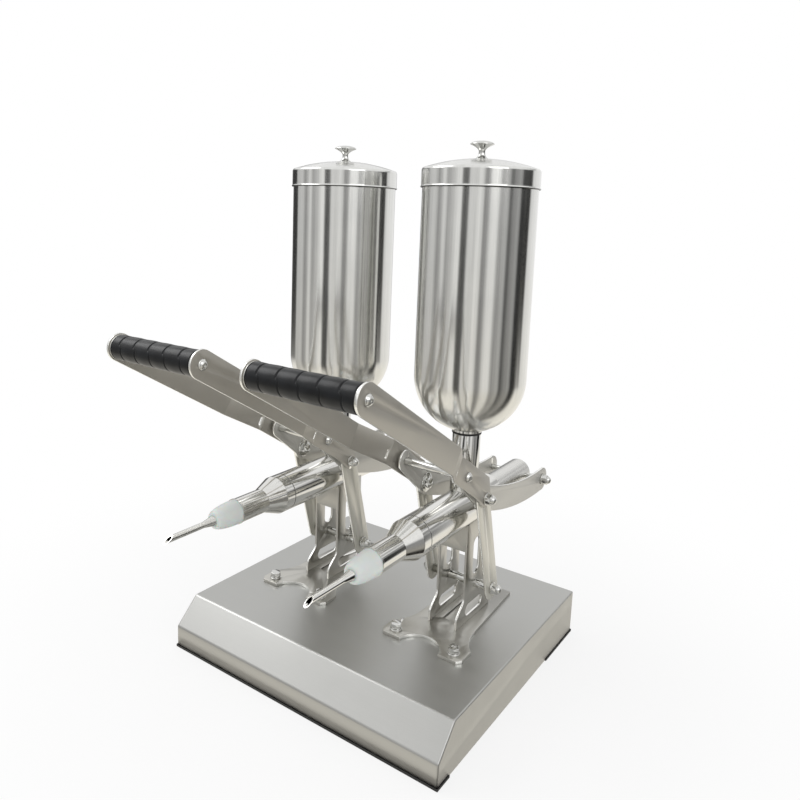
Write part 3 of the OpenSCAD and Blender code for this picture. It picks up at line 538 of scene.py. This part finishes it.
class FILLER_OT_stage(bpy.types.Operator):
    """Makes the camera, the floor, the lamps and the white surroundings"""

    bl_idname = "filler.stage"
    bl_label = "Studio"

    def execute(self, context):
        scene = context.scene
        scene.view_settings.view_transform = "Standard"
        x, y, _ = middle_of(*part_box("base_shell"))
        middle = Vector((x, y, 0))
        self.camera(scene, middle)
        self.surroundings(scene)
        self.floor(middle, scene.filler_sizes.floor_size)
        for name, place, size, power in LAMPS:
            self.lamp(name, middle, place, size, power)
        return {"FINISHED"}

    def camera(self, scene, middle):
        camera = bpy.data.objects.new("camera", bpy.data.cameras.new("camera"))
        scene.collection.objects.link(camera)
        lens = camera.data
        lens.sensor_width, lens.lens = SENSOR, SENSOR * FOCAL_PX / PICTURE_PX
        lens.shift_x = (PICTURE_PX / 2 - CENTRE_X_PX) / PICTURE_PX
        lens.shift_y = (CENTRE_Y_PX - PICTURE_PX / 2) / PICTURE_PX
        lens.clip_end = 60.0
        right, back = Vector(CAMERA_RIGHT).normalized(), Vector(CAMERA_BACK).normalized()
        axes = Matrix((right, back.cross(right), back)).transposed().to_4x4()
        camera.matrix_world = Matrix.Translation(middle + Vector(CAMERA_PLACE)) @ axes
        scene.camera = camera

    def surroundings(self, scene):
        """White to the camera and pale to soft surfaces. Metal sees the same white room, warmer towards the
        floor, with dark panels and light gaps hung round it. They fade above, and on two sides below too. A
        door and two shelves hang above them on one side."""
        world = bpy.data.worlds.new("studio")
        scene.world = world
        tree = Tree(world)
        way = tree.node("ShaderNodeTexCoord", output="Generated")
        parts = tree.node("ShaderNodeSeparateXYZ", {}, {0: way})
        x, y, z = (Link(tree, parts.socket.node.outputs[k]) for k in range(3))
        turn = y.math("ARCTAN2", y, x) / math.pi
        rear = z.fade(*REAR_HEM) * turn.band(*REAR_SIDE)
        front = z.fade(*FRONT_HEM) * turn.fade(*FRONT_SIDE)
        hung = z.fade(*PANEL_TOP) * (1 - rear) * (1 - front)
        ring = tree.ramp(turn, PANELS) * hung + (1 - hung)
        door = turn.window(*DOOR_TURN) * z.window(*DOOR_HEIGHT)
        shelves = z.window(*WIDE_SHELF) * WIDE_DEPTH + z.window(*THIN_SHELF) * THIN_DEPTH
        level = ring * (1 - door * DOOR_DEPTH) * (1 - turn.window(*SHELF_TURN) * shelves)
        seen = tree.ray("Is Camera Ray")
        mirrored = tree.ray("Is Glossy Ray") + tree.ray("Is Transmission Ray")
        strength = seen + (1 - seen) * (mirrored * level + (1 - mirrored) * SOFT_LEVEL)
        tint = tree.tint(z.fade(*WARM_HEIGHT) * mirrored, (1.0, 1.0, 1.0), WARM_TINT)
        light = tree.node("ShaderNodeBackground", {}, {0: tint, 1: strength})
        tree.node("ShaderNodeOutputWorld", {}, {"Surface": light})

    def floor(self, middle, half):
        """Pale floor, lifted towards white for the camera so that only the object's soft shadow shows, and
        wholly white from far on. Metal looks through it at the white surroundings, and soft surfaces see
        its pale colour."""
        drop, near, far, lift = 0.0002, 0.25, 0.8, 0.80
        corners = [(x, y, -drop) for x, y in ((-half, -half), (half, -half), (half, half), (-half, half))]
        made = mesh_object("floor", np.array(corners) + np.array(middle), [(0, 1, 2, 3)])
        surface = bpy.data.materials.new("floor")
        tree = Tree(surface)
        grain = tree.tint(tree.noise(40.0, 2.0), (0.88,) * 3, (0.90,) * 3)
        pale = tree.node("ShaderNodeBsdfDiffuse", {}, {"Color": grain})
        white = tree.node("ShaderNodeEmission", {}, {"Color": (1, 1, 1, 1), "Strength": 1.0})
        offset = tree.node("ShaderNodeVectorMath", {"operation": "SUBTRACT"}, {0: tree.place(), 1: middle})
        away = tree.node("ShaderNodeVectorMath", {"operation": "LENGTH"}, {0: offset}, output="Value")
        lifted = tree.ray("Is Camera Ray") * away.band(near, far, lift, 1.0)
        both = tree.node("ShaderNodeMixShader", {}, {0: lifted, 1: pale, 2: white})
        clear = tree.node("ShaderNodeBsdfTransparent")
        out = tree.node("ShaderNodeMixShader", {}, {0: tree.ray("Is Glossy Ray"), 1: both, 2: clear})
        tree.node("ShaderNodeOutputMaterial", {}, {"Surface": out})
        made.data.materials.append(surface)

    def lamp(self, name, middle, place, size, power):
        lamp = bpy.data.lights.new(name, "AREA")
        lamp.energy, lamp.size = power, size
        made = bpy.data.objects.new(name, lamp)
        bpy.context.scene.collection.objects.link(made)
        made.location = middle + Vector(place)
        made.rotation_euler = (Vector(LAMPS_AIM) - Vector(place)).to_track_quat("-Z", "Y").to_euler()


class FILLER_OT_base(bpy.types.Operator):
    """Folded base sheet with round folds, its rubber edges and the channels under it"""

    bl_idname = "filler.base"
    bl_label = "Base"

    def execute(self, context):
        self.folded_sheet(context.scene.filler_sizes.fold_round)
        for node in ("base_trim_front", "base_trim_rear"):
            skin_of(node, "edge rubber", 0.0006)
        skin_of("base_channels", "inner steel", 0.0004)
        return {"FINISHED"}

    def folded_sheet(self, fold_round):
        """Side outline with the lip and the slope, drawn across the width, open below and made thick."""
        low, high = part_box("base_shell")
        sheet, lip, slope = 0.0015, 0.031, 0.033
        side = [(low.y, low.z), (low.y, lip), (low.y + slope, high.z), (high.y, high.z), (high.y, low.z)]
        points = np.array([(x, y, z) for x in (low.x, high.x) for y, z in side])
        ends = [(0, 1, 2, 3, 4), (9, 8, 7, 6, 5)]
        walls = [(k, k + 5, k + 6, k + 1) for k in range(4)]
        made = mesh_object("base_folded_sheet", points, ends + walls)
        clean(made, 180)
        bevelled(made, "folds", fold_round, 5, 30)
        wall = made.modifiers.new("sheet", "SOLIDIFY")
        wall.thickness, wall.offset, wall.use_even_offset = sheet, -1.0, True
        dress(made, "base steel", "base_shell")


class FILLER_OT_plates(bpy.types.Operator):
    """Foot plates, brackets, links and the lever plates, with softened cut edges painted bright as a
    highlight
    """

    bl_idname = "filler.plates"
    bl_label = "Plates"

    def execute(self, context):
        # the cut look paints the narrow edge faces bright: painted highlight
        edge, cut = context.scene.filler_sizes.edge_round, "cut edge steel with painted highlight"
        for side in SIDES:
            for piece in ("foot_plate", "bracket"):
                skin_of(f"{side}_{piece}", "cut plate steel", edge, cut=cut)
            for hand in ("outer", "inner"):
                skin_of(f"{side}_link_{hand}", "link steel", edge, cut=cut)
                skin_of(f"{side}_handle_plate_{hand}", "lever steel", edge, cut=cut)
                skin_of(f"{side}_hook_plate_{hand}", "hook steel", edge, cut=cut)
        return {"FINISHED"}


class FILLER_OT_fasteners(bpy.types.Operator):
    """Bolts, cap nuts, screws, pins and rods in bright zinc"""

    bl_idname = "filler.fasteners"
    bl_label = "Fasteners"

    def execute(self, context):
        pieces = ("axle", "pivot_bolts", "cross_rod", "lever_screws", "cross_pin")
        for node in ["foot_bolts", "axle_nuts"] + [f"{side}_{piece}" for side in SIDES for piece in pieces]:
            skin_of(node, "bright zinc", 0.00035)
        return {"FINISHED"}


class FILLER_OT_grips(bpy.types.Operator):
    """Rubber grips with broken ring grooves, and the steel cores between the lever plates"""

    bl_idname = "filler.grips"
    bl_label = "Grips"

    def execute(self, context):
        for side in SIDES:
            self.grip(side, context.scene.filler_sizes)
            skin_of(f"{side}_grip_core", "bright zinc", 0.0003)
        return {"FINISHED"}

    def grip(self, side, sizes):
        low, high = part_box(f"{side}_grip_sleeve")
        radius, half, bore = (high.z - low.z) / 2, (high.x - low.x) / 2, 0.01113
        face, shoulder = radius - 0.0016, radius - 0.0005
        shoulder_x, skin_x = half - 0.0004, half - 0.0012
        places = np.array([-0.38, -0.19, 0.0, 0.19, 0.38]) * 2 * half
        sideways, width, start, gap = 0.0022, 0.0009, 0.7, 0.18

        def relief(r, h, t):
            """r less a groove at each ring place; a ring steps sideways and back twice round the grip,
            exp(-(d / w)^2) deep in the distance d to it, and between rings the grip swells a little."""
            wave = np.sin(2 * t + start)
            step = sideways * np.tanh(6 * wave)
            groove = sum(np.exp(-(((h - place - step) / width) ** 2)) for place in places)
            broken = 0.55 + 0.45 * np.tanh(5 * (np.abs(wave) - gap))
            swell = 0.5 - 0.5 * np.cos(2 * math.pi * (h - places[0]) / (places[1] - places[0]))
            depth = sizes.groove_depth * np.clip(groove, 0, 1) * broken
            on_skin = r > radius - 0.0004
            return r + on_skin * (sizes.rib_height * (swell - 1.0) - depth)

        runs = [
            [(bore, -half), (face, -half), (shoulder, -shoulder_x)],
            pairs(radius, np.linspace(-skin_x, skin_x, 420)),
            [(shoulder, shoulder_x), (face, half), (bore, half)],
        ]
        made = turned(f"{side}_rubber_grip", runs, (1, 0, 0), middle_of(low, high), 144, relief)
        dress(made, "grip rubber", f"{side}_grip_sleeve")


class FILLER_OT_hoppers(bpy.types.Operator):
    """Brushed hoppers, their necks, lids and trumpet-shaped knobs"""

    bl_idname = "filler.hoppers"
    bl_label = "Hoppers"

    SHEET = 0.0012

    def execute(self, context):
        for side in SIDES:
            self.hopper(side)
            self.lid(side)
            self.knob(side)
            skin_of(f"{side}_neck", "neck steel", 0.0003)
        return {"FINISHED"}

    def upright(self, side, node, name, runs, steps, surface, slot, closed=True):
        """Turned piece that stands upright over the middle of its node, from points (r, z)."""
        x, y, _ = middle_of(*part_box(f"{side}_{node}"))
        made = turned(f"{side}_{name}", runs, (0, 0, 1), (x, y, 0), steps, closed=closed)
        dress(made, surface, f"{side}_{node}")

    def hopper(self, side):
        """Tube with a ball bottom, a spigot and collar below it and a round rim."""
        low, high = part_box(f"{side}_hopper")
        r, way, spigot, collar = (high.x - low.x) / 2, 0.0149, 0.0169, 0.0195
        inside, rim, lip = r - self.SHEET, 0.0003, high.z - 0.0002
        step, collar_top, wall_top = low.z + 0.018, low.z + 0.0205, high.z - 0.001
        ball = step + r
        outer_start = -90 + math.degrees(math.asin(collar / r)) + 1.5
        inner_end = -90 + math.degrees(math.asin(way / inside))
        runs = [
            [(way, low.z), (spigot, low.z), (spigot, step), (collar, step), (collar, collar_top)],
            arc(0, ball, r, outer_start, 0, 60),
            pairs(r, np.linspace(ball + 0.004, wall_top, 30)),
            [(r - rim, lip), (r - self.SHEET / 2, high.z), (inside + rim, lip)],
            pairs(inside, np.linspace(wall_top, ball, 30)),
            arc(0, ball, inside, -2, inner_end, 60),
        ]
        self.upright(side, "hopper", "hopper_shell", runs, 192, "hopper steel", "hopper_steel")

    def lid(self, side):
        """Low dome with a rounded shoulder, a straight skirt and a bead at its foot."""
        low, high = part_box(f"{side}_lid")
        bead = (high.x - low.x) / 2
        r, hole, corner, bend, rise = bead - 0.0008, 0.0026, 0.004, 72, 0.012
        seam, top = low.z, high.z - rise
        edge = r - corner + corner * math.cos(math.radians(bend))
        bend_z = top - corner * math.sin(math.radians(bend))

        def dome(inset, share):
            """Height top - inset + rise (1 - s^2) over the radius share s."""
            return pairs(edge * share, top - inset + rise * (1 - share**2))

        share = np.linspace(1.0, hole / edge, 40)
        runs = [
            [(r - self.SHEET, seam), (bead - 0.0004, seam), (bead, seam + 0.0006), (bead, seam + 0.0014)],
            [(r + 0.0001, seam + 0.0021)],
            pairs(r, np.linspace(seam + 0.003, bend_z - 0.0005, 12)),
            arc(r - corner, bend_z, corner, 0, bend, 12),
            dome(0, share)[1:],
            dome(self.SHEET, share[::-1])[:-1],
            arc(r - corner, bend_z, corner - self.SHEET, bend, 0, 8),
        ]
        self.upright(side, "lid", "lid_shell", runs, 192, "lid steel", "hopper_steel")

    def knob(self, side):
        """Trumpet: a foot that narrows to the stem, a bell that widens to the brim, and a round top."""
        low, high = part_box(f"{side}_lid_knob")
        r, pin, stem, foot = (high.x - low.x) / 2, 0.0025, 0.004, 0.0078
        seat, rim = low.z + 0.004, 0.0003
        height = high.z - seat
        waist, brim = 0.4 * height, 0.8 * height
        t = np.linspace(0, 1, 20)
        on = t[1:]
        quarter = on * math.pi / 2
        runs = [
            [(0, low.z), (pin, low.z), (pin, seat), (foot, seat)],
            pairs(stem + 0.004 * (1 - t) ** 3, seat + rim + (waist - rim) * t),
            pairs(stem + (r - stem) * on**2, seat + waist + (brim - waist) * on),
            pairs(r * np.cos(quarter), seat + brim + (height - brim) * np.sin(quarter)),
        ]
        self.upright(side, "lid_knob", "trumpet_knob", runs, 96, "bright zinc", "fasteners", False)


class FILLER_OT_barrels(bpy.types.Operator):
    """Polished barrels, coned end caps, plastic noses, needles, plungers and seals"""

    bl_idname = "filler.barrels"
    bl_label = "Barrels"

    BORE = 0.0191
    THREAD_LONG = 0.013

    def execute(self, context):
        for side in SIDES:
            self.barrel(side)
            self.end_cap(side)
            self.plunger(side)
            skin_of(f"{side}_plunger_rings", "edge rubber", 0)
            skin_of(f"{side}_needle", "tube steel", 0, angle=14)
            self.nose(side)
        skin_of("neck_gaskets", "edge rubber", 0.0004)
        skin_of("cap_gaskets", "edge rubber", 0)
        skin_of("mouth_seals", "mouth silicone", 0.0003)
        return {"FINISHED"}

    def size(self, side, node):
        """Radius and length of a node on the pump's axis."""
        low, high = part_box(f"{side}_{node}")
        return (high.x - low.x) / 2, high.y - low.y

    def lathe(self, side, node, name, runs, steps, surface, slot):
        """Turned piece on the pump's own axis, from points (r, y) counted from its front towards the rear."""
        low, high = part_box(f"{side}_{node}")
        x, _, z = middle_of(low, high)
        made = turned(f"{side}_{name}", runs, (0, 1, 0), (x, low.y, z), steps)
        dress(made, surface, f"{side}_{node}")

    def barrel(self, side):
        """Tube with a seat for the mouth seal behind and a thread for the end cap before."""
        r, long = self.size(side, "barrel")
        bore, seat, thread, seat_y = self.BORE, self.BORE + 0.0031, self.BORE + 0.0035, long - 0.003
        corners = [(r, 0), (r, long), (seat, long), (seat, seat_y), (bore, seat_y)]
        corners += [(bore, self.THREAD_LONG), (thread, self.THREAD_LONG), (thread, 0)]
        runs = [edged(corners, 0.0003)]
        self.lathe(side, "barrel", "polished_barrel", runs, 160, "tube steel", "polished_tube")

    def end_cap(self, side):
        """Front tube with a lip, a cone, a band as wide as the barrel and a thread into it."""
        r, long = self.size(side, "end_cap")
        bore, thread, tube, wall = self.BORE, self.BORE + 0.0034, 0.016, 0.003
        lip, lip_y, cone, band = tube + 0.0007, 0.002, 0.047, long - self.THREAD_LONG
        band_front = band - 0.015
        corners = [(lip, 0), (lip, lip_y), (tube, lip_y), (tube, cone), (r, band_front), (r, band)]
        corners += [(thread, band), (thread, long), (bore, long), (bore, band_front)]
        corners += [(tube - wall, cone), (tube - wall, 0)]
        runs = [edged(corners, 0.00025)]
        self.lathe(side, "end_cap", "coned_cap", runs, 160, "tube steel", "polished_tube")

    def plunger(self, side):
        """Bar with bevelled ends."""
        r, long = self.size(side, "plunger")
        core, edge = 0.0005, 0.001
        corners = [(core, 0), (r - edge, 0), (r, edge), (r, long - edge), (r - edge, long), (core, long)]
        runs = [edged(corners, 0.0002)]
        self.lathe(side, "plunger", "plunger_bar", runs, 160, "plunger steel", "plunger_steel")

    def nose(self, side):
        """Plug behind, and before it a body whose radius falls as sqrt(1 - t^2) towards the tip."""
        r, long = self.size(side, "nose")
        way, plug, tip, socket, back, rim = 0.004, 0.0129, 0.009, 0.0066, 0.037, 0.0006
        t = np.linspace(0, 1, 40)
        runs = [
            [(way, long), (plug - rim, long), (plug, long - rim), (plug, back + 0.0002), (r - rim, back)],
            pairs(tip + (r - tip) * np.sqrt(1 - t**2), back - rim / 2 - (back - rim) * t),
            [(tip - rim, 0), (socket, 0), (socket, 0.006), (way, 0.006)],
        ]
        self.lathe(side, "nose", "plastic_nose", runs, 112, "milky plastic", "nose_plastic")


class FILLER_PT_panel(bpy.types.Panel):
    """Lists the filler's pieces and settings"""

    bl_idname = "FILLER_PT_panel"
    bl_label = "Twin Donut Filler"
    bl_space_type = "VIEW_3D"
    bl_region_type = "UI"
    bl_category = "Filler"

    def draw(self, context):
        for group in (context.scene.filler_finish, context.scene.filler_sizes):
            box = self.layout.box()
            for key in group.__annotations__:
                box.prop(group, key)
        for operator in MAKERS:
            self.layout.operator(operator.bl_idname)


MAKERS = (
    FILLER_OT_stage,
    FILLER_OT_base,
    FILLER_OT_plates,
    FILLER_OT_fasteners,
    FILLER_OT_grips,
    FILLER_OT_hoppers,
    FILLER_OT_barrels,
)
CLASSES = (FillerFinish, FillerSizes, *MAKERS, FILLER_PT_panel)


def register():
    for kind in CLASSES:
        bpy.utils.register_class(kind)
    bpy.types.Scene.filler_finish = bpy.props.PointerProperty(type=FillerFinish)
    bpy.types.Scene.filler_sizes = bpy.props.PointerProperty(type=FillerSizes)


def unregister():
    del bpy.types.Scene.filler_finish, bpy.types.Scene.filler_sizes
    for kind in reversed(CLASSES):
        bpy.utils.unregister_class(kind)


def main():
    register()
    make_looks(bpy.context.scene.filler_finish)
    bpy.ops.filler.stage()
    bpy.ops.filler.base()
    bpy.ops.filler.plates()
    bpy.ops.filler.fasteners()
    bpy.ops.filler.grips()
    bpy.ops.filler.hoppers()
    bpy.ops.filler.barrels()


if __name__ == "__main__":
    main()
